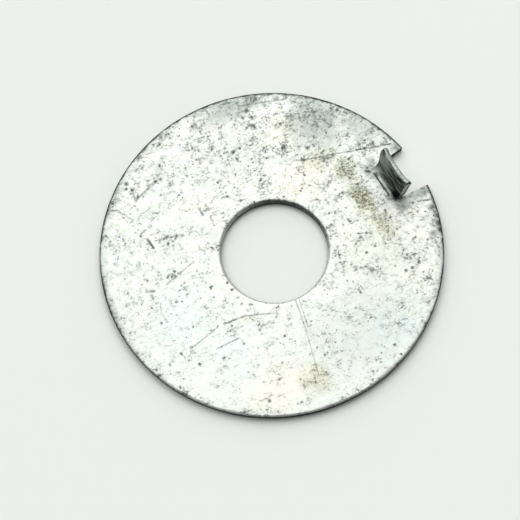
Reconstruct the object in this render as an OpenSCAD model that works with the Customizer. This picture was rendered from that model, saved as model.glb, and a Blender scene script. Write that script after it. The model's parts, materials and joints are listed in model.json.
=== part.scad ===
// Lock plate: a round plate punched from thin steel sheet, with a bore in the middle and one tab.
// The tab is a piece of the rim itself. Two shear cuts free its sides, and it is bent up out of
// the notch that it leaves. The plate is one piece, and its punched edges have a rounded top.
// The bottom face lies at Z = 0, the bore's axis is the Z axis, and the tab stands towards +X.

/* [Plate] */
// Outer diameter of the round plate
plate_d = 34; // [28:0.5:50]
// Thickness of the steel sheet
sheet_t = 0.75; // [0.5:0.05:1.2]

/* [Bore] */
// Diameter of the bore, a close clearance for a 10 mm screw thread
bore_d = 10.5; // [6:0.1:14]
// How far the bore was punched off the rim's centre, towards the tab
bore_off_x = 0.22; // [-0.4:0.02:0.4]
// How far the bore was punched off the rim's centre, to the left of the tab
bore_off_y = -0.21; // [-0.4:0.01:0.4]

/* [Punched edges] */
// Width of the rounded edge that the punch draws down round the rim and the bore
roll_w = 0.36; // [0.2:0.02:0.5]
// Depth of that rounded edge below the top face
roll_h = 0.25; // [0.1:0.01:0.3]
// Slope at which the rounded edge leaves the top face, in degrees
roll_slope = 8; // [4:1:15]

/* [Notch] */
// Width of the notch where it opens at the rim
notch_w = 4.7; // [3.5:0.1:8]
// Depth of the notch, from the rim in to the root of the tab
notch_depth = 3.85; // [3.3:0.05:6]
// Angle by which each side wall of the notch opens out towards the rim
notch_flare = 5; // [0:0.5:8]

/* [Tab] */
// Angle by which the tab is bent up from the plate
tab_angle = 80; // [45:1:95]
// Radius on the inside of the bend
bend_r = 0.55; // [0.3:0.05:1]
// Gap that the shear cut leaves between the tab and each wall of the notch
shear_gap = 0.12; // [0.05:0.01:0.3]
// Share of the sheet's thickness at which the bend keeps its length
neutral_share = 0.42; // [0.33:0.01:0.5]

/* [Bending mark] */
// Length of the line that the bending tool pressed into the top face, along the tab's root
mark_len = 2.9; // [1:0.1:3.4]
// Width of that pressed line
mark_w = 0.14; // [0.08:0.02:0.3]
// Depth of that pressed line
mark_h = 0.06; // [0.02:0.01:0.1]
// Distance from the pressed line back to the start of the bend
mark_back = 0.18; // [0.1:0.02:0.6]
// How far the middle of the line lies to the left of the tab's middle
mark_shift = 0.1; // [-0.3:0.05:0.3]

/* [Hidden] */
$fn = 180;
over = 1;                                     // how far a cutting shape runs past what it cuts

plate_r = plate_d / 2;
bore_r = bore_d / 2;

// The rounded edge is one arc from the top face to the wall, given by its width, depth and slope
roll_chord = sqrt(roll_w * roll_w + roll_h * roll_h);
roll_r = roll_chord / 2 / sin(atan(roll_h / roll_w) - roll_slope);

// The notch is a wedge that is notch_w wide where its walls meet the rim
mouth_x = sqrt(plate_r * plate_r - notch_w * notch_w / 4);
root_x = plate_r - notch_depth;
function notch_half(x) = notch_w / 2 + (x - mouth_x) * tan(notch_flare);

// The tab's blank runs from root_x to the rim, and the bend takes bend_run of that length
bend_out_r = bend_r + sheet_t;
bend_run = (bend_r + neutral_share * sheet_t) * tab_angle * PI / 180;
blank_x = root_x + bend_run;
tab_half_root = notch_half(root_x) - shear_gap;

// Corner to cut away from a square punched edge: the wall is X = 0 and the top face is Y = 0
module edge_roll() {
    difference() {
        translate([-roll_w, -roll_h]) square([roll_w + over, roll_h + over]);
        translate([-roll_w - roll_r * sin(roll_slope), -roll_r * cos(roll_slope)]) circle(roll_r);
    }
}

// The round blank as it comes from the sheet, before the bore and the notch
module round_blank() {
    rotate_extrude()
        difference() {
            square([plate_r, sheet_t]);
            translate([plate_r, sheet_t]) edge_roll();
        }
}

// What the punch takes out of the middle, with the bore's rounded top edge
module bore_cut() {
    rotate_extrude() {
        translate([0, -over]) square([bore_r, sheet_t + 2 * over]);
        translate([bore_r, sheet_t]) mirror([1, 0]) edge_roll();
    }
}

// A wedge along +X between two distances, with a gap kept off each wall of the notch
module notch_wedge(from_x, to_x, gap) {
    polygon([
        [from_x, -notch_half(from_x) + gap],
        [to_x, -notch_half(to_x) + gap],
        [to_x, notch_half(to_x) - gap],
        [from_x, notch_half(from_x) - gap]
    ]);
}

// The opening that the tab leaves in the rim
module notch_cut() {
    translate([0, 0, -over])
        linear_extrude(sheet_t + 2 * over) notch_wedge(root_x, plate_r + over, 0);
}

// The line that the bending tool pressed beside the root, a groove with sloping sides
module bending_mark() {
    translate([root_x - mark_back, mark_shift + mark_len / 2, sheet_t])
        rotate([90, 0, 0])
            linear_extrude(mark_len)
                polygon([[-mark_w, mark_h], [mark_w, mark_h], [0, -mark_h]]);
}

// The bent root of the tab, turned about the centre line of the bend
module tab_bend() {
    translate([root_x, 0, sheet_t + bend_r])
        rotate([90, 0, 0])
            rotate([0, 0, -90])
                rotate_extrude(angle = tab_angle)
                    translate([bend_r, -tab_half_root]) square([sheet_t, 2 * tab_half_root]);
}

// The straight part of the tab: a piece of the blank's rim, stood up on the end of the bend
module tab_flange() {
    translate([root_x, 0, sheet_t + bend_r])
        rotate([0, -tab_angle, 0])
            translate([-blank_x, 0, -bend_out_r])
                intersection() {
                    round_blank();
                    translate([0, 0, -over])
                        linear_extrude(sheet_t + 2 * over)
                            notch_wedge(blank_x, plate_r + over, notch_half(blank_x) - tab_half_root);
                }
}

module lock_plate() {
    color("#d9dcdb")
        translate([-bore_off_x, -bore_off_y, 0]) {
            difference() {
                round_blank();
                translate([bore_off_x, bore_off_y, 0]) bore_cut();
                notch_cut();
                bending_mark();
            }
            tab_bend();
            tab_flange();
        }
}

lock_plate();
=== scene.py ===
# %% [markdown]
# A lock plate is a round plate punched from thin steel, with a bore for a bolt and one tab that is bent
# up to keep it from turning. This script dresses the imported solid: it makes a finer mesh of the same form,
# and gives it the finish of worn zinc plating. All sizes are in millimetres until a mesh is made.

# %% The frame
import json
import math

import bmesh
import bpy
import numpy as np
from mathutils import Matrix, Vector


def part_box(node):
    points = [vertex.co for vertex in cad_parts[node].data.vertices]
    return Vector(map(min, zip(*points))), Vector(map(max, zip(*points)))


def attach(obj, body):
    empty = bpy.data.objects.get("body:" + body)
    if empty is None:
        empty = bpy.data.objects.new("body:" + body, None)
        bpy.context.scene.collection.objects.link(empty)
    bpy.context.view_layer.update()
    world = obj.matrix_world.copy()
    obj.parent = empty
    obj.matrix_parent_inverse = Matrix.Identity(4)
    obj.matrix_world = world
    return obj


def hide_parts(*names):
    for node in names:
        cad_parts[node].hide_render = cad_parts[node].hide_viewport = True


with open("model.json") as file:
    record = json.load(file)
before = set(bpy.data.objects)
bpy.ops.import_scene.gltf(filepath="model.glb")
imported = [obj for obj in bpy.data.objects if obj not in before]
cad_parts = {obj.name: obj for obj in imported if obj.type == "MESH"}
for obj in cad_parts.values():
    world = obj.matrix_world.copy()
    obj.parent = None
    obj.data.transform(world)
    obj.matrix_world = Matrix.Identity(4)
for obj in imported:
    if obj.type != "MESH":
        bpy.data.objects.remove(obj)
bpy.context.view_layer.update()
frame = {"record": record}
MM = 0.001
low, high = (np.array(corner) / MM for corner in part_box("lock_plate"))
mounts = {mount["name"]: mount for mount in frame["record"]["mounts"]}
plate_r = (high[1] - low[1]) / 2
rim_centre = np.array([low[0] + plate_r, (low[1] + high[1]) / 2])
bore_r = mounts["bore"]["dims"]["r_mm"]
sheet_t = mounts["top_face"]["pos_m"][2] / MM
print(f"plate {2 * plate_r:.2f} mm across, bore {2 * bore_r:.2f}, sheet {sheet_t:.2f}")
print("the rim's centre, from the bore's axis", rim_centre.round(2))

# %% [markdown]
# The punch, the shears and the bending tool leave forms that are smaller than a millimetre. They catch the
# light, so they are given here by the same names and sizes as in the solid. The second group is what a used
# plate adds to them. Its rim is rolled less deeply than its bore, and less widely on the side that off_way
# points to. One side of the tab has next to no gap, and its bend is softer there. The tip is bowed and
# bevelled, with a burr at one corner, and the lower part of each punched wall is torn.

# %% Sizes of the punched and bent forms
roll_w, roll_h, roll_slope = 0.36, 0.25, math.radians(8)
notch_w, notch_depth, notch_flare = 4.7, 3.85, math.radians(5)
shear_gap, tab_angle, bend_r, neutral_share = 0.12, math.radians(80), 0.55, 0.42
mark_len, mark_half, mark_h, mark_back, mark_shift = 2.9, 0.07, 0.06, 0.18, 0.1

rim_share, width_wander, width_loss = 0.42, 0.2, 0.35
off_way = (-0.46, -0.89, 0)
tight_gap, soft_bend, tip_bow, burr_size = 0.03, 0.2, 0.17, 0.1
bevel_low, bevel_gain = 0.18, 0.03
cut_share, tear_run, tear_step, tear_grain = 0.42, 0.2, 0.03, 0.012

roll_r = math.hypot(roll_w, roll_h) / 2 / math.sin(math.atan(roll_h / roll_w) - roll_slope)
mouth_x = math.sqrt(plate_r**2 - notch_w**2 / 4)
root_x = plate_r - notch_depth
bore_centre = -rim_centre


def notch_half(x):
    return notch_w / 2 + (x - mouth_x) * math.tan(notch_flare)


tab_low, tab_high = shear_gap - notch_half(root_x), notch_half(root_x) - tight_gap
print(f"notch root at {root_x:.2f} mm from the rim's centre, tab {tab_high - tab_low:.2f} mm wide there")

# %% [markdown]
# The top face could be flat polygons with a bevel, but the rounded punched edges, the pressed line and the
# roll at the tab's tip are all one height over the plan. One function gives that height, so the plate
# and the tab agree wherever they meet. The edge's width wanders by a fifth, as a worn punch leaves it.

# %% Height of the top face
mark_fade = 0.15


def wander(angle, seed, waves=9):
    draw = np.random.RandomState(seed)
    total = np.zeros_like(angle)
    for wave in range(1, waves + 1):
        total += np.sin(wave * 3 * angle + draw.uniform(0, 2 * math.pi)) / waves**0.5
    return total


def roll_drop(inward, spread):
    reach = np.clip(roll_w - inward / spread, 0, roll_w) + roll_r * math.sin(roll_slope)
    return roll_r * math.cos(roll_slope) - np.sqrt(roll_r**2 - reach**2)


def top_height(x, y, rim_part=rim_share):
    from_rim = plate_r - np.hypot(x, y)
    from_bore = np.hypot(x - bore_centre[0], y - bore_centre[1]) - bore_r
    off_share = (x * off_way[0] + y * off_way[1]) / plate_r
    spread = 1 + width_wander * wander(np.arctan2(y, x), 4) - width_loss * off_share
    drop = rim_part * roll_drop(np.maximum(from_rim, 0), spread) + roll_drop(np.maximum(from_bore, 0), 1.0)
    groove = 1 - np.abs(x - (root_x - mark_back)) / mark_half
    groove_end = np.clip((mark_len / 2 - np.abs(y - mark_shift)) / mark_fade, 0, 1)
    return sheet_t - drop - mark_h * np.clip(groove, 0, 1) * groove_end


print("top at the rim", top_height(np.array([-plate_r]), np.array([0.0])).round(3))

# %% [markdown]
# The plate is a grid wrapped round the bore: columns run from the bore to the outline and rows run round.
# The outline is the rim, the two walls of the notch and the root between them. Each column passes a middle
# ring, which keeps the columns beside the notch from crossing it.


# %% Columns of the plate's grid
def line_points(start, end, count):
    share = np.arange(count)[:, None] / count
    return np.array(start) + (np.array(end) - np.array(start)) * share


def ring_points(centre, radius, degrees):
    angle = np.radians(degrees)
    return np.array(centre) + radius * np.stack([np.cos(angle), np.sin(angle)], 1)


mouth_deg = math.degrees(math.asin(notch_w / 2 / plate_r))
mid_r = 12.3
root_half = notch_half(root_x)
counts = {"rim": 640, "lower_wall": 20, "lower_gap": 2, "root": 44, "upper_gap": 2, "upper_wall": 20}
mid_deg = np.array([16, 344, 350, 350.6, 369.4, 370, 376.0])
bore_deg = np.array([22, 338, 346, 346.6, 373.4, 374, 382.0])
corners = {
    "lower_wall": ((mouth_x, -notch_w / 2), (root_x, -root_half)),
    "lower_gap": ((root_x, -root_half), (root_x, tab_low)),
    "root": ((root_x, tab_low), (root_x, tab_high)),
    "upper_gap": ((root_x, tab_high), (root_x, root_half)),
    "upper_wall": ((root_x, root_half), (mouth_x, notch_w / 2)),
}
rim_angles = mouth_deg + (360 - 2 * mouth_deg) * np.arange(counts["rim"]) / counts["rim"]
outline = [ring_points((0, 0), plate_r, rim_angles)]
outline += [line_points(*corners[name], counts[name]) for name in corners]
outline = np.concatenate(outline)
stops = np.cumsum([0, *counts.values()])
column = np.arange(len(outline))
middle = ring_points((0, 0), mid_r, np.interp(column, stops, mid_deg))
inner = ring_points(bore_centre, bore_r, np.interp(column, stops, bore_deg))
root_first, root_last = stops[3], stops[4]
on_rim = (column <= counts["rim"]).astype(float)
print("columns", len(outline), "root from", root_first, "to", root_last)

# %% [markdown]
# Rows lie at set distances from the bore's edge and from the outline. Even rows would need far more faces,
# so they stand close together where the face rolls over, a few hundredths of a millimetre apart, and wide
# apart on the flat.


# %% Rows of the top face
def along(start, end, distances):
    step = end - start
    unit = step / np.linalg.norm(step, axis=1)[:, None]
    return [start + unit * distance for distance in distances]


def evenly(start, end, shares):
    return [start + (end - start) * share for share in shares]


def raised(points, height):
    return np.column_stack([points, np.broadcast_to(height, len(points))])


bore_steps = [0, 0.015, 0.035, 0.06, 0.09, 0.13, 0.18, 0.24, 0.3, 0.36, 0.44]
edge_steps = [0.5, 0.42, 0.36, 0.32, 0.28, 0.25, 0.23, 0.205, 0.18]
edge_steps += [0.155, 0.13, 0.11, 0.085, 0.055, 0.03, 0.012, 0]
wall_shares = [0, 0.15, 0.32, 0.45, 0.6, 0.75, 0.88, 1]
shares = np.linspace(0, 1, 11)
plan_rows = along(inner, middle, bore_steps)
plan_rows += evenly(plan_rows[-1], middle, shares[1:])
edge_rows = along(outline, middle, edge_steps)
plan_rows += evenly(middle, edge_rows[0], shares[1:-1]) + edge_rows
rows = [raised(p, top_height(p[:, 0], p[:, 1])) for p in plan_rows]
top_count = len(rows)
print("rows of the top face", top_count)

# %% [markdown]
# A punch cuts the upper part of an edge clean and tears the rest, so the torn part stands back a little
# and is rough. The rows down each wall carry that step, on the rim and in the bore alike. The underside is
# flat, and closes the grid.

# %% Rows of the walls and the underside
rng = np.random.RandomState(11)
outward = outline / np.linalg.norm(outline, axis=1)[:, None]
bore_outward = (inner - bore_centre) / bore_r


def torn(share, sign, direction, weight):
    grain = rng.uniform(0, tear_grain, len(direction))
    depth = tear_step * np.clip((share - cut_share) / tear_run, 0, 1) + grain * (share > cut_share)
    return sign * direction * (depth * weight)[:, None]


edge_top = rows[-1][:, 2]
for share in wall_shares[1:]:
    rows.append(raised(outline + torn(share, -1, outward, on_rim), edge_top * (1 - share)))
bottom_edge = rows[-1][:, :2]
bore_bottom = inner + torn(1, 1, bore_outward, np.ones(len(inner)))
wall_count = len(rows)
bottom_rows = evenly(bottom_edge, middle, [0.02, 0.08, 0.2, 0.5, 1])
bottom_rows += evenly(middle, bore_bottom, [0.25, 0.5, 0.75, 0.93, 1])
rows += [raised(p, 0.0) for p in bottom_rows]
bottom_count = len(rows)
bore_top = rows[0][:, 2]
for share in wall_shares[-2:0:-1]:
    rows.append(raised(inner + torn(share, 1, bore_outward, np.ones(len(inner))), bore_top * (1 - share)))
grid = np.stack(rows)
print("rows", len(rows), "of", grid.shape[1], "points")

# %% [markdown]
# The tab is the piece of rim that was cut free. A bent box would be simpler, but its tip would lack the
# rim's curve and roll, so the tab is laid out flat first, between the walls of its notch. A point of it is
# given by three shares: q from root to tip, v from one side to the other, and f from the inner face to the
# outer one. The shear left a bevel on the tip's outer edge, which is wider at one corner.


# %% The tab, laid out flat
def across(x, v):
    low_side, high_side = shear_gap - notch_half(x), notch_half(x) - tight_gap
    return low_side + (high_side - low_side) * (v + 1) / 2


def tip_x(v):
    x = np.full_like(v, mouth_x)
    for _ in range(4):
        x = np.sqrt(plate_r**2 - across(x, v) ** 2)
    return x


def blank_point(q, v, f):
    q, v, f = np.broadcast_arrays(np.asarray(q, float), np.asarray(v, float), np.asarray(f, float))
    end = tip_x(v)
    x = root_x + q * (end - root_x)
    y = across(x, v)
    top = np.where(q > 0, top_height(x, y, 1.0), sheet_t)
    z = top * (1 - f)
    bevel = bevel_low + bevel_gain * (v + 1)
    x = root_x + q * (end - np.maximum(bevel - z, 0) - root_x)
    return np.stack([x, y, z], -1)


print("the flat tab's tip, from the rim's centre", tip_x(np.linspace(-1, 1, 3)).round(2))

# %% [markdown]
# One function wraps the flat tab round its bend. The real bend is a little softer at one side, the blow that
# bent it left the tip bowed in by a sixth of a millimetre, most in its middle, and a burr a tenth of a
# millimetre long stands out of the tip's low corner.


# %% The tab, bent
def bend_up(points):
    x, y, z = np.moveaxis(points, -1, 0)
    share = np.clip((y - tab_low) / (tab_high - tab_low), 0, 1)
    radius = bend_r + soft_bend * share**3
    run = (radius + neutral_share * sheet_t) * tab_angle
    length = x - root_x
    angle = np.clip(length / run, 0, 1) * tab_angle
    straight = np.maximum(length - run, 0)
    spoke = radius + sheet_t - z
    bow = tip_bow * (4 * share * (1 - share))**0.6 * np.clip(length / (notch_depth * 0.9), 0, 1) ** 1.5
    burr = burr_size * np.clip(1 - share / 0.07, 0, 1) * np.clip(1 - z / 0.25, 0, 1)
    burr = burr * np.clip((length - notch_depth + 0.8) / 0.6, 0, 1)
    bent_x = root_x + spoke * np.sin(angle) + straight * math.cos(tab_angle) - bow + burr
    bent_z = sheet_t + radius - spoke * np.cos(angle) + straight * math.sin(tab_angle)
    return np.stack([bent_x, y, bent_z], -1)


near_tip = [0.905, 0.925, 0.945, 0.96, 0.975, 0.988, 0.996, 1]
tab_q = np.concatenate([np.linspace(0, 0.36, 22), np.linspace(0.4, 0.88, 13), near_tip])
tab_v = np.linspace(-1, 1, counts["root"] + 1)
tab_f = np.array(wall_shares)
tab_faces = {
    "inner": blank_point(tab_q[:, None], tab_v[None], 0),
    "outer": blank_point(tab_q[:, None], tab_v[None], 1),
    "low_side": blank_point(tab_q[None], -1, tab_f[:, None]),
    "high_side": blank_point(tab_q[None], 1, tab_f[:, None]),
    "tip": blank_point(1, tab_v[None], tab_f[:, None]),
}
tab_faces = {name: bend_up(points) for name, points in tab_faces.items()}
print("tab tip at z", tab_faces["inner"][-1, :, 2].max().round(3))

# %% [markdown]
# The grids are joined into one mesh. Faces of the sheet and sheared faces get different materials, because
# plating on a torn edge looks nothing like plating on a rolled face. The punch burnished the tab's tip, save
# for one torn corner. The tab's sides carry a burnished band down to where they tore; its near-white is a
# painted highlight, and the torn parts carry painted shade.

# %% Grids with their materials
points, quads, finish = [], [], []


def add_grid(vertices, slots, wrap=False, skip=()):
    n_rows, n_cols = vertices.shape[:2]
    start = sum(len(p) for p in points)
    slots = np.broadcast_to(slots, (n_rows, n_cols))
    points.append(vertices.reshape(-1, 3))
    for r in range(n_rows if wrap else n_rows - 1):
        for c in range(n_cols if wrap else n_cols - 1):
            if (r, c) in skip:
                continue
            near, far = r * n_cols, (r + 1) % n_rows * n_cols
            after = (c + 1) % n_cols
            quads.append([start + near + c, start + near + after, start + far + after, start + far + c])
            finish.append(int(slots[r, c]))


PLATED, TORN_AND_SHADED, BURNISHED, SIDE_BURNISH_AND_HIGHLIGHT = 0, 1, 2, 3
row = np.arange(len(rows))
on_wall = (row >= top_count - 1) & (row < wall_count - 1) | (row >= bottom_count - 1)
row_slots = np.where(on_wall, TORN_AND_SHADED, PLATED)[:, None]
open_root = {(r, c) for r in range(top_count - 1, wall_count - 1) for c in range(root_first, root_last)}
add_grid(grid, row_slots, wrap=True, skip=open_root)
bright_band_share, torn_corner = 0.7, -0.95
side_slots = np.where(tab_f < bright_band_share, SIDE_BURNISH_AND_HIGHLIGHT, TORN_AND_SHADED)[:, None]
tab_slots = {
    "inner": PLATED,
    "outer": PLATED,
    "low_side": side_slots,
    "high_side": side_slots,
    "tip": np.where(tab_v < torn_corner, TORN_AND_SHADED, BURNISHED)[None],
}
for name, vertices in tab_faces.items():
    add_grid(vertices, tab_slots[name])
print("faces of each material", np.bincount(finish))

# %% [markdown]
# Points that lie on each other are welded, which makes the skin closed, and sharp edges are marked by their
# angle. Shading stays smooth everywhere else, so that the small rolled edges show no facets.

# %% One closed mesh
weld_gap, sharp_angle = 2e-7, math.radians(32)
flat = np.concatenate(points)
flat[:, :2] += rim_centre
mesh = bpy.data.meshes.new("lock_plate_dressed")
mesh.from_pydata((flat * MM).tolist(), [], quads)
mesh.polygons.foreach_set("material_index", finish)
weld = bmesh.new()
weld.from_mesh(mesh)
bmesh.ops.remove_doubles(weld, verts=weld.verts, dist=weld_gap)
bmesh.ops.recalc_face_normals(weld, faces=weld.faces)
loose = [e for e in weld.edges if not e.is_manifold]
print("open edges", len(loose), "vertices", len(weld.verts), "faces", len(weld.faces))
weld.to_mesh(mesh)
weld.free()
mesh.polygons.foreach_set("use_smooth", [True] * len(mesh.polygons))
mesh.set_sharp_from_angle(angle=sharp_angle)
plate = bpy.data.objects.new("lock_plate_dressed", mesh)
bpy.context.scene.collection.objects.link(plate)

# %% [markdown]
# Materials are node trees. One helper adds a node, sets it up and links what feeds it, and another turns a
# colour as it is seen on a screen into the linear light that the shaders work in.


# %% Helpers for materials
def linear(code, alpha=1.0):
    parts = [int(code[i:i + 2], 16) / 255 for i in (1, 3, 5)]
    return (*[p / 12.92 if p <= 0.04045 else ((p + 0.055) / 1.055) ** 2.4 for p in parts], alpha)


def node(tree, kind, inputs=None, take=None, **settings):
    made = tree.nodes.new(kind)
    for name, value in settings.items():
        setattr(made, name, value)
    for key, value in (inputs or {}).items():
        if isinstance(value, bpy.types.NodeSocket):
            tree.links.new(value, made.inputs[key])
        else:
            made.inputs[key].default_value = value
    return made if take is None else made.outputs[take]


def new_group(name, sockets):
    group = bpy.data.node_groups.new(name, "ShaderNodeTree")
    for label, kind in sockets.items():
        group.interface.new_socket(label, in_out="INPUT", socket_type=kind)
    group.interface.new_socket("Mask", in_out="OUTPUT", socket_type="NodeSocketFloat")
    return group, node(group, "NodeGroupInput").outputs, node(group, "NodeGroupOutput").inputs[0]


print("half grey on a screen is linear", round(linear("#808080")[0], 3))

# %% [markdown]
# A scratch is a line, and a stain is a soft oval. Both are worked out from the place on the plate, so each
# mark lies where it was found. Images could hold them too, but these stay sharp at any distance.

# %% A scratch
vector, number = "NodeSocketVector", "NodeSocketFloat"
sockets = {"Place": vector, "From": vector, "To": vector, "Half width": number, "Weight": number}
scratch, given, mask_out = new_group("scratch", sockets)
went = node(scratch, "ShaderNodeVectorMath", {0: given["Place"], 1: given["From"]}, 0, operation="SUBTRACT")
whole = node(scratch, "ShaderNodeVectorMath", {0: given["To"], 1: given["From"]}, 0, operation="SUBTRACT")
reach = node(scratch, "ShaderNodeVectorMath", {0: went, 1: whole}, "Value", operation="DOT_PRODUCT")
square = node(scratch, "ShaderNodeVectorMath", {0: whole, 1: whole}, "Value", operation="DOT_PRODUCT")
share = node(scratch, "ShaderNodeMath", {0: reach, 1: square}, 0, operation="DIVIDE", use_clamp=True)
nearest = node(scratch, "ShaderNodeVectorMath", {0: whole, "Scale": share}, 0, operation="SCALE")
apart = node(scratch, "ShaderNodeVectorMath", {0: went, 1: nearest}, "Value", operation="DISTANCE")
fade = {"Value": apart, "From Min": given["Half width"], "From Max": 0.0, "To Max": given["Weight"]}
fade = node(scratch, "ShaderNodeMapRange", fade, 0, interpolation_type="SMOOTHSTEP")
scratch.links.new(fade, mask_out)
print("a scratch takes", len(scratch.nodes), "nodes")

# %% A soft patch
sockets = {"Place": vector, "Centre": vector, "Size": vector, "Weight": number}
patch, given, mask_out = new_group("patch", sockets)
went = node(patch, "ShaderNodeVectorMath", {0: given["Place"], 1: given["Centre"]}, 0, operation="SUBTRACT")
scaled = node(patch, "ShaderNodeVectorMath", {0: went, 1: given["Size"]}, 0, operation="DIVIDE")
apart = node(patch, "ShaderNodeVectorMath", {0: scaled}, "Value", operation="LENGTH")
fade = {"Value": apart, "From Min": 1.3, "From Max": 0.3, "To Max": given["Weight"]}
fade = node(patch, "ShaderNodeMapRange", fade, 0, interpolation_type="SMOOTHSTEP")
patch.links.new(fade, mask_out)
print("a soft patch takes", len(patch.nodes), "nodes")

# %% [markdown]
# The marks of wear were read from the real plate, and are grouped as a person would list them. Each
# line has its two ends, in millimetres from the bore's axis, its half width and its depth of tone. A dot has
# one place and a radius.

# %% Lines and dots
scratches = {
    "line beside the tab, inner part": ((7.2, 6.85), (11.5, 5.2), 0.14, 0.6),
    "line beside the tab, outer part": ((11.5, 5.2), (15.8, 3.5), 0.16, 0.8),
    "line right of the notch": ((14.8, -3.15), (16.0, -3.65), 0.15, 0.8),
    "hook, short leg": ((-8.54, 13.4), (-8.8, 12.0), 0.16, 0.68),
    "hook, long leg": ((-8.8, 12.0), (-6.3, 12.6), 0.24, 0.6),
    "arc, first part": ((-8.1, -3.75), (-5.95, -4.15), 0.17, 0.8),
    "arc, second part": ((-5.95, -4.15), (-3.2, -5.55), 0.15, 0.62),
    "double line, from the bore": ((-0.95, -5.4), (-1.7, -8.5), 0.13, 0.55),
    "double line, second half": ((-1.7, -8.5), (-3.1, -13.0), 0.12, 0.4),
    "double line, its twin": ((-0.6, -5.5), (-1.35, -8.3), 0.12, 0.4),
    "slant line, left": ((-10.8, 2.75), (-7.3, 3.35), 0.14, 0.6),
    "slant line, lower left": ((-12.2, -4.2), (-8.9, -3.7), 0.14, 0.6),
    "slant line, lower middle": ((-10.0, -5.55), (-7.7, -5.75), 0.14, 0.6),
    "line near the top": ((5.1, 15.2), (9.5, 13.3), 0.16, 0.6),
    "thick dash": ((-9.93, 7.8), (-9.9, 6.75), 0.23, 0.98),
    "row of dashes": ((-9.35, 7.25), (-6.7, 6.4), 0.2, 0.5),
    "flat dash, left": ((-12.85, 3.15), (-12.15, 2.8), 0.2, 0.75),
    "dash, upper left": ((-8.05, 9.95), (-7.65, 9.65), 0.2, 0.75),
    "dash over the thick one": ((-10.15, 8.65), (-9.6, 8.8), 0.2, 0.6),
    "dash at the left rim": ((-11.4, 12.35), (-10.9, 12.05), 0.16, 0.7),
    "blotch by the pressed line": ((12.2, 2.3), (12.5, 2.08), 0.22, 0.95),
    # The two entries for the pressed line darken the plate along its groove.
    "pressed line": ((12.7, -1.05), (12.76, 1.72), 0.17, 0.72),
    "pressed line, deepest": ((12.68, -0.25), (12.74, 0.6), 0.2, 0.95),
}
dots = {
    "by the hook": ((-8.7, 14.0), 0.35, 0.96),
    "under it": ((-9.0, 13.55), 0.27, 0.96),
    "at the hook's end": ((-6.15, 12.65), 0.32, 1.0),
    "left": ((-10.9, 0.7), 0.27, 0.84),
    "bottom": ((-8.55, -12.75), 0.3, 0.84),
    "top": ((5.65, 13.35), 0.32, 0.72),
    "right of the bore": ((5.75, -5.9), 0.24, 0.78),
    "far right": ((9.85, -8.6), 0.3, 0.9),
    "row of dashes, first": ((-8.2, 7.0), 0.34, 0.85),
    "row of dashes, second": ((-7.35, 6.6), 0.34, 0.9),
    "row of dashes, third": ((-6.8, 6.3), 0.28, 0.7),
    "left, over the flat dash": ((-12.2, 4.1), 0.26, 0.7),
    "left rim": ((-12.2, 9.55), 0.2, 0.7),
    "left rim, lower": ((-15.3, 2.95), 0.22, 0.65),
    "grime on the rim, first": ((15.6, -5.5), 0.5, 0.8),
    "grime on the rim, second": ((15.3, -6.15), 0.65, 0.95),
    "grime on the rim, third": ((15.05, -6.75), 0.6, 0.9),
    "grime inside the rim": ((14.25, -6.75), 0.6, 0.65),
    "grime further in": ((13.85, -7.15), 0.4, 0.5),
    "grime by the notch": ((15.6, -4.45), 0.7, 0.55),
}
print(len(scratches), "lines and", len(dots), "dots")

# %% [markdown]
# A soft place has its centre, its half sizes and its strength. Moisture stained the plating beside the tab,
# handling dulled it, and the passivation that seals the zinc dries in faint cream and blue tints. The painted
# shadows are painted shade at the tab's foot and along its bend, where the tab shades the plate.

# %% Stained and dull places
stains = {
    "upper end": ((9.2, 5.9), (2.2, 1.5), 0.5),
    "beside the tab": ((10.6, 3.4), (1.5, 1.9), 0.62),
    "darkest": ((10.2, 0.0), (1.3, 2.3), 0.8),
    "below": ((10.6, -3.4), (1.2, 2.2), 0.55),
    "bottom": ((-3.4, -13.4), (1.9, 1.9), 0.5),
}
dull_and_shaded_places = {
    "dull patch": ((10.8, 9.8), (3.0, 3.4), 0.78),
    "rim, upper": ((12.4, 11.6), (3.0, 2.6), 0.55),
    "rim, right": ((14.8, 7.4), (2.2, 3.6), 0.6),
    "corner of the notch": ((15.7, 3.1), (1.0, 1.1), 0.6),
    "flank of the notch": ((15.3, -2.5), (1.9, 0.8), 0.95),
    "rim, top": ((4.6, 15.4), (4.4, 1.6), 0.7),
    "lower right, wide": ((3.5, -11.5), (7.0, 5.0), 0.22),
    "right, wide": ((8.4, -6.2), (5.0, 4.0), 0.16),
    "upper middle, wide": ((1.5, 11.5), (5.0, 4.0), 0.08),
    "beside the bend": ((12.9, 2.3), (0.9, 1.5), 0.88),
    # The next two are painted shade: the tab's shadow below its foot, and the crease along the bend.
    "below the foot": ((13.5, -2.6), (1.0, 0.8), 0.85),
    "along the bend": ((12.98, 0.3), (0.3, 2.0), 0.8),
}
creams = {
    "right of the bore": ((6.2, 5.0), (3.2, 2.8), 0.4),
    "upper middle": ((7.2, 10.3), (2.2, 2.6), 0.3),
    "bottom": ((-6.6, -12.2), (4.2, 2.8), 0.35),
    "right": ((9.5, -5.5), (5.0, 5.0), 0.25),
    "far right": ((11.0, -9.6), (2.4, 2.2), 0.2),
}
blues = {
    "lower left": ((-11.5, -1.3), (3.4, 3.4), 0.3),
    "lower middle": ((-8.5, -6.5), (2.6, 2.2), 0.3),
    "lower right": ((5.4, -13.2), (3.2, 2.4), 0.35),
}
# Painted shadows: black at the tab's foot and dark along the bend, where the tab shades the plate.
painted_shadows = {
    "at the tab's foot": ((13.35, -1.4), (0.7, 0.85), 1.0),
    "along the bend": ((13.7, 0.2), (0.4, 2.4), 0.55),
}
print(len(stains) + len(dull_and_shaded_places), "stained or dull places,", len(painted_shadows), "painted_shadows")

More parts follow.
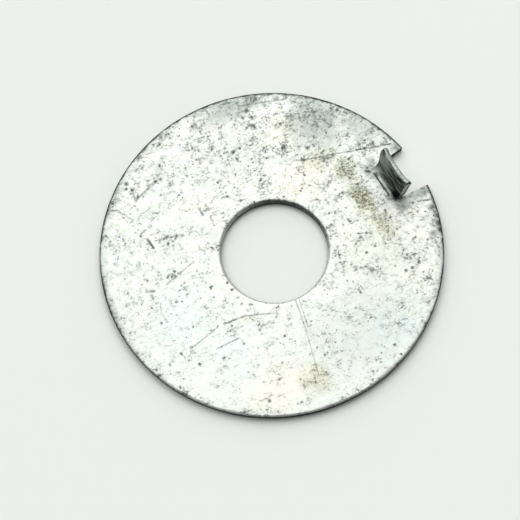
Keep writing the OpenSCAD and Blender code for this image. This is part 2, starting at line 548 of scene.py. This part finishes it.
# %% [markdown]
# Bright zinc plating is a thin, pale metal skin. New, it is a soft mirror. Handled and stored, it loses its
# shine in patches, and fine dark pits open in it, most of them a tenth to three tenths of a millimetre
# across. A small tremor of the place makes lines and pits ragged, and a wide one does so for the patches.
# The place is in millimetres, so a pattern's Scale counts its waves to the millimetre: six for the small
# tremor, each about a sixth of a millimetre long, and 0.7 for the wide one.

# %% Places on the plate
zinc = bpy.data.materials.new("worn_bright_zinc_plating")
zinc.use_nodes = True
tree = zinc.node_tree
shader = tree.nodes["Principled BSDF"]
surface = node(tree, "ShaderNodeTexCoord")
place = {0: surface.outputs["Object"], "Scale": 1 / MM}
place = node(tree, "ShaderNodeVectorMath", place, 0, operation="SCALE")
flat_place = node(tree, "ShaderNodeVectorMath", {0: place, 1: (1, 1, 0)}, 0, operation="MULTIPLY")


def shaken(scale, amount):
    tremor = {"Vector": flat_place, "Scale": scale, "Detail": 2.0}
    tremor = node(tree, "ShaderNodeTexNoise", tremor, "Color")
    middle_kept = {0: flat_place, 1: (-amount / 2, -amount / 2, 0)}
    middle_kept = node(tree, "ShaderNodeVectorMath", middle_kept, 0, operation="ADD")
    moved = {0: tremor, 1: (amount, amount, 0), 2: middle_kept}
    return node(tree, "ShaderNodeVectorMath", moved, 0, operation="MULTIPLY_ADD")


ragged = shaken(6.0, 0.2)
blurred = shaken(0.7, 2.4)
print("nodes so far", len(tree.nodes))

# %% [markdown]
# Every named mark becomes a mask, from 0 where it isn't to its own weight where it is deepest. Where marks of
# one kind overlap, the strongest of them shows, as it does where scratches cross.


# %% Masks of the named marks
def strongest(masks):
    total = masks[0]
    for other in masks[1:]:
        total = node(tree, "ShaderNodeMath", {0: total, 1: other}, 0, operation="MAXIMUM")
    return total


def line_mask(start, end, half, weight):
    ends = {"Place": ragged, "From": (*start, 0), "To": (*end, 0), "Half width": half, "Weight": weight}
    return node(tree, "ShaderNodeGroup", ends, 0, node_tree=scratch)


def patch_mask(around, centre, size, weight):
    spot = {"Place": around, "Centre": (*centre, 0), "Size": (*size, 1), "Weight": weight}
    return node(tree, "ShaderNodeGroup", spot, 0, node_tree=patch)


dot_len = 0.03
marks = strongest([line_mask(*line) for line in scratches.values()])
spots = strongest([line_mask(spot, (spot[0] + dot_len, spot[1]), radius, weight)
                   for spot, radius, weight in dots.values()])
stain, dull_and_shade, cream, blue = (strongest([patch_mask(blurred, *spot) for spot in places.values()])
                            for places in (stains, dull_and_shaded_places, creams, blues))
painted_shadow = strongest([patch_mask(ragged, *spot) for spot in painted_shadows.values()])
print("nodes so far", len(tree.nodes))

# %% [markdown]
# How crowded the pits are changes from place to place. Two noises vary it, with waves of about two and one
# millimetres. It grows towards the tab's side of the plate. Stained or dull places hold more pits, and so do
# the rim, which rubs on its neighbours in the box, and an old row of specks from the rim to the bore. What is
# taken off at the end keeps most of the face bare.

# %% How crowded the pits are
bare_level = 2.32
wide = {"Vector": flat_place, "Scale": 0.5, "Detail": 3.0, "Roughness": 0.6}
wide = node(tree, "ShaderNodeTexNoise", wide, "Fac")
cloudy = {"Vector": flat_place, "Scale": 1.1, "Detail": 5.0, "Roughness": 0.66}
cloudy = node(tree, "ShaderNodeTexNoise", cloudy, "Fac")
slope = {0: flat_place, 1: (0.011, 0.009, 0)}
crowd = node(tree, "ShaderNodeVectorMath", slope, "Value", operation="DOT_PRODUCT")
for mask, weight in ((wide, 2.6), (cloudy, 3.0)):
    crowd = node(tree, "ShaderNodeMath", {0: mask, 1: weight, 2: crowd}, 0, operation="MULTIPLY_ADD")
from_middle = {0: flat_place, 1: (*rim_centre, 0)}
from_middle = node(tree, "ShaderNodeVectorMath", from_middle, "Value", operation="DISTANCE")
near_rim = {"Value": from_middle, "From Min": plate_r - 1.1, "From Max": plate_r - 0.1, "To Max": wide}
near_rim = node(tree, "ShaderNodeMapRange", near_rim, 0, interpolation_type="SMOOTHSTEP")
old_row = line_mask((6.2, 15.2), (1.9, 5.2), 0.8, 1.0)
for mask, weight in ((stain, 0.25), (dull_and_shade, 0.1), (near_rim, 0.5), (old_row, 0.16)):
    crowd = node(tree, "ShaderNodeMath", {0: mask, 1: weight, 2: crowd}, 0, operation="MULTIPLY_ADD")
crowd = node(tree, "ShaderNodeMath", {0: crowd, 1: bare_level}, 0, operation="SUBTRACT")
print("nodes so far", len(tree.nodes))

# %% [markdown]
# Round pits come from the cells of a Voronoi pattern. Some of its cells hold one, picked by the cell's random
# colour, which also gives the pit's size. There are two sets, in cells of 0.4 and 0.95 millimetres.


# %% Round pits
def pit_mask(cell, radius, density, weight):
    cells = {"Vector": ragged, "Scale": 1 / cell}
    cells = node(tree, "ShaderNodeTexVoronoi", cells, voronoi_dimensions="2D")
    lot = node(tree, "ShaderNodeSeparateColor", {0: cells.outputs["Color"]})
    size = {0: lot.outputs[1], 1: radius / cell, 2: 0.3 * radius / cell}
    size = node(tree, "ShaderNodeMath", size, 0, operation="MULTIPLY_ADD")
    kept = node(tree, "ShaderNodeMath", {0: lot.outputs[0], 1: density}, 0, operation="LESS_THAN")
    kept = node(tree, "ShaderNodeMath", {0: kept, 1: weight}, 0, operation="MULTIPLY")
    within = node(tree, "ShaderNodeMath", {0: cells.outputs["Distance"], 1: size}, 0, operation="DIVIDE")
    fade = {"Value": within, "From Min": 1.1, "From Max": 0.2, "To Max": kept}
    return node(tree, "ShaderNodeMapRange", fade, 0, interpolation_type="SMOOTHSTEP")


few = node(tree, "ShaderNodeMath", {0: crowd, 1: 0.2, 2: 0.02}, 0, operation="MULTIPLY_ADD")
few = node(tree, "ShaderNodeMath", {0: stain, 1: 0.2, 2: few}, 0, operation="MULTIPLY_ADD")
pits = strongest([pit_mask(0.4, 0.12, few, 0.65), pit_mask(0.95, 0.21, few, 0.8)])
print("nodes so far", len(tree.nodes))

# %% [markdown]
# The other marks are where a noise passes a threshold, which sinks where they crowd. Its waves are given in
# millimetres, along and across. Short, even waves make ragged flecks; long ones, turned the way the plates
# slide over each other, make dashes; wide ones with a hard edge make blots; and the finest are the specks of
# the stain. Hairlines are the level lines of one more noise, drawn out to six millimetres.


# %% Flecks, dashes and hairlines
def fleck_mask(crowding, length, width, turned, clear, thinned, softness, weight):
    laid = {"Vector": ragged, "Rotation": (0, 0, math.radians(turned)), "Scale": (length, width, 1.0)}
    laid = node(tree, "ShaderNodeMapping", laid, 0, vector_type="TEXTURE")
    waves = {"Vector": laid, "Scale": 1.0, "Detail": 4.0, "Roughness": 0.66}
    waves = node(tree, "ShaderNodeTexNoise", waves, "Fac")
    first = {0: crowding, 1: -thinned, 2: clear}
    first = node(tree, "ShaderNodeMath", first, 0, operation="MULTIPLY_ADD")
    last = node(tree, "ShaderNodeMath", {0: first, 1: softness}, 0, operation="ADD")
    fade = {"Value": waves, "From Min": first, "From Max": last, "To Max": weight}
    return node(tree, "ShaderNodeMapRange", fade, 0)


flecks = fleck_mask(crowd, 0.31, 0.27, -17, 0.65, 0.2, 0.2, 0.8)
dashes = fleck_mask(crowd, 0.9, 0.25, -17, 0.69, 0.16, 0.14, 0.75)
blots = fleck_mask(crowd, 0.8, 0.6, 20, 0.7, 0.12, 0.06, 0.9)
specks = fleck_mask(stain, 0.24, 0.2, 0, 0.7, 0.36, 0.16, 0.9)
hair = {"Vector": ragged, "Rotation": (0, 0, math.radians(-8)), "Scale": (6.0, 1.6, 1.0)}
hair = node(tree, "ShaderNodeMapping", hair, 0, vector_type="TEXTURE")
hair = node(tree, "ShaderNodeTexNoise", {"Vector": hair, "Scale": 1.0, "Detail": 3.0}, "Fac")
hair = node(tree, "ShaderNodeMath", {0: hair, 1: 0.54}, 0, operation="SUBTRACT")
hair = node(tree, "ShaderNodeMath", {0: hair}, 0, operation="ABSOLUTE")
hairlines = {"Value": hair, "From Min": 0.006, "From Max": 0.0, "To Max": 0.35}
hairlines = node(tree, "ShaderNodeMapRange", hairlines, 0)
flecks = strongest([flecks, dashes, blots, hairlines])
print("nodes so far", len(tree.nodes))

# %% [markdown]
# Along the rim and the bore the rolled edge is painted greyer, and its outermost tenth of a millimetre, the
# lip,
# dark: painted shade, as an edge that turns away from the light shows. Both are found by their height below
# the top face, which a mottle with waves of 0.6 millimetres makes uneven. The painted shade fades on the side
# that off_way points to, and is deepest on the far side. The bore's edge gets less of it than the rim's, but
# for the side that lip_way points to.

# %% Painted shade on the rolled edges
lip_way = (0.84, 0.545, 0)
axes = node(tree, "ShaderNodeSeparateXYZ", {0: place}).outputs
slopes = node(tree, "ShaderNodeSeparateXYZ", {0: surface.outputs["Normal"]}).outputs
mottle = {"Vector": ragged, "Scale": 1.7, "Detail": 4.0, "Roughness": 0.62}
mottle = node(tree, "ShaderNodeTexNoise", mottle, "Fac")
uneven = node(tree, "ShaderNodeMath", {0: mottle, 1: 0.15, 2: axes["Z"]}, 0, operation="MULTIPLY_ADD")
upward = {"Value": slopes["Z"], "From Min": 0.02, "From Max": 0.12}
upward = node(tree, "ShaderNodeMapRange", upward, 0)
rolled_edge_shade = {"Value": uneven, "From Min": sheet_t + 0.075, "From Max": sheet_t + 0.03, "To Max": 0.7}
rolled_edge_shade = node(tree, "ShaderNodeMapRange", rolled_edge_shade, 0)
lip_shade = {"Value": uneven, "From Min": sheet_t + 0.055, "From Max": sheet_t + 0.01, "To Max": 0.95}
lip_shade = node(tree, "ShaderNodeMapRange", lip_shade, 0)
toward_off_way, lip_side = (
    node(tree, "ShaderNodeVectorMath", {0: flat_place, 1: way}, "Value", operation="DOT_PRODUCT")
    for way in (off_way, lip_way))
bore_lip = {"Value": lip_side, "From Min": 2.5, "From Max": 4.5, "To Min": 0.25, "To Max": 0.75}
bore_lip = node(tree, "ShaderNodeMapRange", bore_lip, 0)
lip_share = {"Value": from_middle, "From Min": 8.0, "From Max": 12.0, "To Min": bore_lip}
lip_share = node(tree, "ShaderNodeMapRange", lip_share, 0)
# Painted shade by side: light on the side that off_way points to, deepest on the far side.
side_shade = {"Value": toward_off_way, "From Min": 14.0, "From Max": 6.0, "To Min": 0.15, "To Max": lip_share}
side_shade = node(tree, "ShaderNodeMapRange", side_shade, 0)
upward = node(tree, "ShaderNodeMath", {0: upward, 1: side_shade}, 0, operation="MULTIPLY")
rolled_edge_shade, lip_shade = (node(tree, "ShaderNodeMath", {0: mask, 1: upward}, 0, operation="MULTIPLY")
               for mask in (rolled_edge_shade, lip_shade))
print("nodes so far", len(tree.nodes))

# %% [markdown]
# The inner side of the bend and the tab faces away from the light, and is painted dark as painted shade, the
# darkest part of the plate. Its slope gives it away. The rolled edge of the tip gets this painted shade too,
# except towards one end. The painted shadows lie only low down on it.

# %% Painted shade on the inside of the bend
root_line = rim_centre[0] + root_x
steep = {"Value": slopes["X"], "From Min": -0.14, "From Max": -0.38}
steep = node(tree, "ShaderNodeMapRange", steep, 0)
tip_edge = {"Value": axes["Y"], "From Min": -0.3, "From Max": 1.4, "To Max": -0.6}
tip_edge = node(tree, "ShaderNodeMapRange", tip_edge, 0)
inward = node(tree, "ShaderNodeMath", {0: slopes["X"], 1: tip_edge}, 0, operation="LESS_THAN")
high_up = {"Value": axes["Z"], "From Min": sheet_t + 0.6, "From Max": sheet_t + 0.9}
high_up = node(tree, "ShaderNodeMapRange", high_up, 0)
inward = node(tree, "ShaderNodeMath", {0: inward, 1: high_up}, 0, operation="MULTIPLY")
past_root = {"Value": axes["X"], "From Min": root_line - 0.06, "From Max": root_line + 0.1}
past_root = node(tree, "ShaderNodeMapRange", past_root, 0)
streaked_and_shaded = {0: strongest([steep, inward]), 1: past_root}
streaked_and_shaded = node(tree, "ShaderNodeMath", streaked_and_shaded, 0, operation="MULTIPLY")
low_down = {"Value": axes["Z"], "From Min": sheet_t + 0.9, "From Max": sheet_t + 0.2}
low_down = node(tree, "ShaderNodeMapRange", low_down, 0)
painted_shadow = node(tree, "ShaderNodeMath", {0: painted_shadow, 1: low_down}, 0, operation="MULTIPLY")
print("the bend starts at x", round(float(root_line), 2), "mm")

# %% [markdown]
# The tool slid along the bend, so the steel there is streaked that way; the streaks' dark and mid grey is
# painted shade. The streaks are a noise whose waves are 1.5 millimetres long and a third of one high. The
# painted shade deepens towards the low end.

# %% Streaks and painted shade on the inside of the bend
streaks = {"Vector": place, "Scale": (1.0, 1.5, 0.32)}
streaks = node(tree, "ShaderNodeMapping", streaks, 0, vector_type="TEXTURE")
streaks = {"Vector": streaks, "Scale": 1.0, "Detail": 5.0, "Roughness": 0.66}
streaks = node(tree, "ShaderNodeTexNoise", streaks, "Fac")
low_end_shade = {"Value": axes["Y"], "From Min": 1.2, "From Max": -1.8, "To Min": 0.04, "To Max": -0.09}
low_end_shade = node(tree, "ShaderNodeMapRange", low_end_shade, 0)
streaks = node(tree, "ShaderNodeMath", {0: streaks, 1: low_end_shade}, 0, operation="ADD")
tab_tone = node(tree, "ShaderNodeValToRGB", {"Fac": streaks})
for stop, at, shade in ((0, 0.4, "#343A36"), (1, 0.64, "#A9B0AA")):
    tab_tone.color_ramp.elements[stop].position = at
    tab_tone.color_ramp.elements[stop].color = linear(shade)
print("nodes so far", len(tree.nodes))

# %% [markdown]
# The colour is laid on in the order in which the real surface got it, with painted shade laid in among it:
# the bare plating, which the thin film of passivation tints a little differently every few millimetres, then
# the cloudy, cream, blue and dull places, two of them painted shade, the stain with its specks, the flecks,
# the pits, the painted shade of the rolled edges, the scratches, and last the painted shade inside the bend
# and the painted shadows at the tab's foot. Stain and dull places are broken up by the mottle, and so are the
# scratches.

# %% Colour of the plating
cloud = {"Value": cloudy, "From Min": 0.45, "From Max": 0.75, "To Max": 0.8}
cloud = node(tree, "ShaderNodeMapRange", cloud, 0)
mottled = {"Value": mottle, "From Min": 0.3, "From Max": 0.6, "To Min": 0.3}
mottled = node(tree, "ShaderNodeMapRange", mottled, 0)
faint = {"Value": mottle, "From Min": 0.46, "From Max": 0.7, "To Max": crowd}
faint = node(tree, "ShaderNodeMapRange", faint, 0)
faint = node(tree, "ShaderNodeMath", {0: faint, 1: 0.45}, 0, operation="MULTIPLY", use_clamp=True)
# The rim's dulling is real wear and also painted shade, since it fades on the side that off_way points to.
rim_wear_and_shade = node(tree, "ShaderNodeMath", {0: near_rim, 1: side_shade}, 0, operation="MULTIPLY")
dull_and_shade = strongest([dull_and_shade, rim_wear_and_shade])
dull_and_shade, stain = (node(tree, "ShaderNodeMath", {0: mask, 1: mottled}, 0, operation="MULTIPLY")
               for mask in (dull_and_shade, stain))
broken = {"Value": mottle, "From Min": 0.36, "From Max": 0.52, "To Min": 0.25}
broken = node(tree, "ShaderNodeMapRange", broken, 0)
marks = node(tree, "ShaderNodeMath", {0: marks, 1: broken}, 0, operation="MULTIPLY")
marks = strongest([marks, spots])
film = node(tree, "ShaderNodeTexNoise", {"Vector": flat_place, "Scale": 0.4, "Detail": 3.0}, "Color")
film = {"Factor": 0.2, 6: linear("#D9DCD7"), 7: film}
colour = node(tree, "ShaderNodeMix", film, 2, data_type="RGBA", blend_type="SOFT_LIGHT")
layers = [
    (cloud, "#CBCFC8"), (faint, "#ADB0A8"), (cream, "#E4DECB"), (blue, "#CDDDE0"), (dull_and_shade, "#9FA9A4"),
    (stain, "#C9C8AE"), (specks, "#67674C"), (flecks, "#585C56"), (pits, "#3F433E"), (rolled_edge_shade, "#8D9490"),
    (lip_shade, "#333836"), (marks, "#3F4442"), (streaked_and_shaded, tab_tone.outputs[0]), (painted_shadow, "#151716"),
]
for mask, shade in layers:
    mixed = {"Factor": mask, 6: colour, 7: linear(shade) if isinstance(shade, str) else shade}
    colour = node(tree, "ShaderNodeMix", mixed, 2, data_type="RGBA")
tree.links.new(colour, shader.inputs["Base Color"])
print("nodes in the plating", len(tree.nodes))

# %% [markdown]
# Plating is a metal all through, so metallic is 1 and the metal keeps the default IOR. It is a soft mirror
# where it is clean and rougher where it is dull or pitted, and its skin is a few hundredths of a millimetre
# uneven, as rolled sheet is. The marks stay out of the relief: it works out all that feeds it three times
# over, and with them the tree outgrows the renderer's memory for one material, which then shows black.

# %% Shine and relief of the plating
shader.inputs["Metallic"].default_value = 1.0
wear_and_shade = strongest([dull_and_shade, stain, specks, pits, flecks, rolled_edge_shade, streaked_and_shaded])
rough = node(tree, "ShaderNodeMapRange", {"Value": wear_and_shade, "To Min": 0.55, "To Max": 0.68}, 0)
tree.links.new(rough, shader.inputs["Roughness"])
relief = {"Height": mottle, "Distance": 0.02 * MM, "Strength": 1.0}
tree.links.new(node(tree, "ShaderNodeBump", relief, 0), shader.inputs["Normal"])
print("with its shine and relief", len(tree.nodes))

# %% [markdown]
# A sheared steel edge is smooth where the punch slid along it, and grainy where the steel tore. Little zinc
# holds on a torn edge, so it is darker than the plating, and its near-black is painted shade, for the shade
# that the walls mirror from the board at their foot. The tab's tip was burnished under the punch, and shows a
# soft mid grey. Its sides have a burnished band, and their near-white is a painted highlight. All three are
# steel, so metallic is 1, and their grain runs up and down, the way the punch went, five waves to the
# millimetre across it. At the tab's high corner the edges are painted darker, as painted shade.

# %% Sheared edges under plating
def edge_material(name, dark_shade, light_shade):
    material = bpy.data.materials.new(name)
    material.use_nodes = True
    tree = material.node_tree
    shader = tree.nodes["Principled BSDF"]
    surface = node(tree, "ShaderNodeTexCoord").outputs["Object"]
    place = node(tree, "ShaderNodeVectorMath", {0: surface, "Scale": 1 / MM}, 0, operation="SCALE")
    drawn = node(tree, "ShaderNodeMapping", {"Vector": place, "Scale": (5.0, 5.0, 1.2)}, 0)
    grain = {"Vector": drawn, "Scale": 1.0, "Detail": 4.0, "Roughness": 0.6}
    grain = node(tree, "ShaderNodeTexNoise", grain, "Fac")
    # Painted shade: the edges are painted darker at the tab's high corner.
    corner_shade = {"Place": place, "Centre": (14.2, 2.1, 0), "Size": (1.5, 1.5, 9), "Weight": -0.25}
    corner_shade = node(tree, "ShaderNodeGroup", corner_shade, 0, node_tree=patch)
    tone = node(tree, "ShaderNodeMath", {0: grain, 1: corner_shade}, 0, operation="ADD")
    ramp = node(tree, "ShaderNodeValToRGB", {"Fac": tone})
    for stop, at, shade in ((0, 0.36, dark_shade), (1, 0.7, light_shade)):
        ramp.color_ramp.elements[stop].position = at
        ramp.color_ramp.elements[stop].color = linear(shade)
    tree.links.new(ramp.outputs[0], shader.inputs["Base Color"])
    shader.inputs["Metallic"].default_value = 1.0
    shader.inputs["Roughness"].default_value = 0.48
    relief = {"Height": grain, "Distance": 0.03 * MM, "Strength": 1.0}
    tree.links.new(node(tree, "ShaderNodeBump", relief, 0), shader.inputs["Normal"])
    return material


# The torn edge is darker than plating, and its near-black is painted shade.
torn_edge_and_shade = edge_material("torn_steel_edge_with_painted_shade", "#1E2120", "#4E5350")
burnished_edge = edge_material("burnished_steel_edge_under_zinc", "#787E7B", "#B6BCB8")
# The tab's sides: a burnished band, whose near-white is a painted highlight.
burnished_side_with_highlight = edge_material("burnished_steel_side_with_painted_highlight", "#C4CAC6", "#F4F6F4")
for material in (zinc, torn_edge_and_shade, burnished_edge, burnished_side_with_highlight):
    mesh.materials.append(material)
print("materials", [material.name for material in mesh.materials])

# %% [markdown]
# The dressed mesh rides on the only body and stands for the solid plate, whose form it keeps.

# %% The piece in the frame
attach(plate, "root")
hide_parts("lock_plate")
print(plate.name, "replaces the solid")

# %% [markdown]
# The plate lies on a smooth, faintly green white board. It is matt, so it takes a soft shadow and shows no
# reflection.

# %% The floor
floor_mesh = bpy.data.meshes.new("floor")
floor_half = 0.8
floor_corners = [(x * floor_half, y * floor_half, 0) for x, y in ((-1, -1), (1, -1), (1, 1), (-1, 1))]
floor_mesh.from_pydata(floor_corners, [], [(0, 1, 2, 3)])
floor = bpy.data.objects.new("floor", floor_mesh)
bpy.context.scene.collection.objects.link(floor)
board = bpy.data.materials.new("matt_white_board")
board.use_nodes = True
board_shader = board.node_tree.nodes["Principled BSDF"]
board_shader.inputs["Base Color"].default_value = linear("#ECEFEB")
board_shader.inputs["Roughness"].default_value = 0.9
board_shader.inputs["Specular IOR Level"].default_value = 0.2
floor_mesh.materials.append(board)
print("floor", 2 * floor_half, "m across")

# %% [markdown]
# The camera looks down steeply from in front of the plate. Its height, its turn and the distance were found
# by fitting the rim, the bore and the notch's corners, and its roll levels them.

# %% The camera
turn, height_angle, distance = math.radians(-28.1), math.radians(70.05), 249.6 * MM
picture, sensor = 520, 36
focal_px = 2524.5
aim_px = (271.7, 253.5)
roll = math.radians(4.07)
target = Vector((*rim_centre * MM, 0))
level_back = Vector((math.sin(turn), -math.cos(turn), 0))
back = level_back * math.cos(height_angle) + Vector((0, 0, math.sin(height_angle)))
right = Vector((math.cos(turn), math.sin(turn), 0))
up = back.cross(right)
aim_x, aim_y = (aim_px[0] - picture / 2) / focal_px, -(aim_px[1] - picture / 2) / focal_px
aim_x, aim_y = (aim_x * math.cos(roll) + aim_y * math.sin(roll),
                aim_y * math.cos(roll) - aim_x * math.sin(roll))
forward = (-back - right * aim_x - up * aim_y).normalized()
level = (right - forward * right.dot(forward)).normalized()
level_up = level.cross(forward)
axis_x = level * math.cos(roll) - level_up * math.sin(roll)
axis_y = level * math.sin(roll) + level_up * math.cos(roll)
lens = bpy.data.cameras.new("camera")
lens.sensor_width = sensor
lens.lens = focal_px * sensor / picture
lens.clip_start = 0.01
camera = bpy.data.objects.new("camera", lens)
facing = Matrix((axis_x, axis_y, -forward)).transposed().to_4x4()
camera.matrix_world = Matrix.Translation(target + back * distance) @ facing
bpy.context.scene.collection.objects.link(camera)
bpy.context.scene.camera = camera
print("camera at", (camera.matrix_world.translation / MM).to_tuple(1), "mm")

# %% [markdown]
# Metal shows what stands round it, so the light is a dome, as in a small light tent. Its bright part stands
# high up behind the plate, where the flat face mirrors it to the camera, so bare plating shows nearly white.
# The rest is dim, but for a low band that the rolled edges and the walls mirror, which is lighter beside the
# plate than in front of it. One wide soft lamp behind gives the shadow its direction.

# %% The light
world = bpy.data.worlds.new("light_tent")
world.use_nodes = True
bpy.context.scene.world = world
tree = world.node_tree
sky = tree.nodes["Background"]
lean = Vector((0.18, 0.68, 0.7)).normalized()
around = node(tree, "ShaderNodeTexCoord").outputs["Generated"]
towards = node(tree, "ShaderNodeVectorMath", {0: around, 1: lean}, "Value", operation="DOT_PRODUCT")
reach = {"Value": towards, "From Min": 0.4, "From Max": 0.95, "To Min": 0.1, "To Max": 2.2}
glow = node(tree, "ShaderNodeMapRange", reach, 0, interpolation_type="SMOOTHSTEP")
height = node(tree, "ShaderNodeSeparateXYZ", {0: around}).outputs["Z"]
front = node(tree, "ShaderNodeVectorMath", {0: around, 1: off_way}, "Value", operation="DOT_PRODUCT")
beside = {"Value": front, "From Min": 0.4, "From Max": -0.1, "To Min": 0.3, "To Max": 0.9}
beside = node(tree, "ShaderNodeMapRange", beside, 0)
low_band = {"Value": height, "From Min": 0.6, "From Max": 0.3, "To Max": beside}
low_band = node(tree, "ShaderNodeMapRange", low_band, 0)
glow = node(tree, "ShaderNodeMath", {0: glow, 1: low_band}, 0, operation="MAXIMUM")
tree.links.new(glow, sky.inputs["Strength"])
sky.inputs["Color"].default_value = linear("#FEFFFE")

lamp_turn, lamp_height = math.radians(42.6), math.radians(46)
lamp_distance, lamp_size, lamp_power = 0.5, 0.3, 0.3
level_way = Vector((math.cos(lamp_turn), math.sin(lamp_turn), 0))
lamp_way = level_way * math.cos(lamp_height) + Vector((0, 0, math.sin(lamp_height)))
lamp_data = bpy.data.lights.new("softbox", "AREA")
lamp_data.size = lamp_size
lamp_data.energy = lamp_power
lamp = bpy.data.objects.new("softbox", lamp_data)
lamp_facing = lamp_way.to_track_quat("Z", "Y").to_matrix().to_4x4()
lamp.matrix_world = Matrix.Translation(lamp_way * lamp_distance) @ lamp_facing
bpy.context.scene.collection.objects.link(lamp)
bpy.context.scene.view_settings.view_transform = "Standard"
print("the lamp stands", lamp_distance, "m away and is", lamp_size, "m wide")
